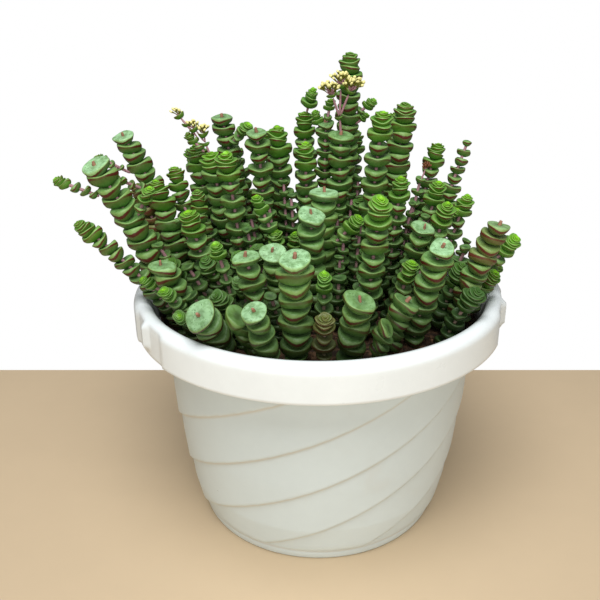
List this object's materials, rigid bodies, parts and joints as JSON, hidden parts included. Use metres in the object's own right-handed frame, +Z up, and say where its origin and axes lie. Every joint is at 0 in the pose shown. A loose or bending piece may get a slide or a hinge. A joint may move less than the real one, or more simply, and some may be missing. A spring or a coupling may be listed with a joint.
{
  "type": "potted crassula",
  "caption": "Necklace crassula with stacked leaf pairs on upright and leaning shoots, rooted in soil in a round white pot with a wide folded rim and a swirl relief.",
  "frame": {"origin": "centre of the pot's flat underside", "axes": "+Z up along the pot's axis, -Y towards the front, where the lower shoots are"},
  "size_m": [0.1839, 0.1589, 0.1872],
  "materials": {
    "pot_plastic": "satin white moulded plastic with faint scuffs",
    "soil": "dark crumbly potting mix, matte",
    "leaves": "waxy succulent leaves, grey green with brown red margins, on purplish stems"
  },
  "bodies": {
    "root": {"pot": "pot_plastic", "soil": "soil", "front_shoot_1": "leaves", "front_shoot_2": "leaves", "front_shoot_3": "leaves", "front_shoot_4": "leaves", "front_shoot_5": "leaves", "front_shoot_6": "leaves", "front_shoot_7": "leaves", "front_shoot_8": "leaves", "front_shoot_9": "leaves", "front_shoot_10": "leaves", "front_shoot_11": "leaves", "left_shoot_1": "leaves", "left_shoot_2": "leaves", "left_shoot_3": "leaves", "left_shoot_4": "leaves", "left_shoot_5": "leaves", "left_shoot_6": "leaves", "left_shoot_7": "leaves", "right_shoot_1": "leaves", "right_shoot_2": "leaves", "right_shoot_3": "leaves", "right_shoot_4": "leaves", "right_shoot_5": "leaves", "right_shoot_6": "leaves", "right_shoot_7": "leaves", "middle_shoot_1": "leaves", "middle_shoot_2": "leaves", "middle_shoot_3": "leaves", "middle_shoot_4": "leaves", "middle_shoot_5": "leaves", "middle_shoot_6": "leaves", "middle_shoot_7": "leaves", "middle_shoot_8": "leaves", "middle_shoot_9": "leaves", "middle_shoot_10": "leaves", "middle_shoot_11": "leaves", "middle_shoot_12": "leaves", "middle_shoot_13": "leaves", "middle_shoot_14": "leaves", "middle_shoot_15": "leaves", "middle_shoot_16": "leaves", "back_shoot_1": "leaves", "back_shoot_2": "leaves", "back_shoot_3": "leaves", "back_shoot_4": "leaves", "back_shoot_5": "leaves", "back_shoot_6": "leaves", "back_shoot_7": "leaves", "back_shoot_8": "leaves", "back_shoot_9": "leaves", "back_shoot_10": "leaves", "back_shoot_11": "leaves", "back_shoot_12": "leaves", "back_shoot_13": "leaves", "back_shoot_14": "leaves", "back_shoot_15": "leaves", "side_shoot_1": "leaves", "side_shoot_2": "leaves"}
  },
  "joints": []
}
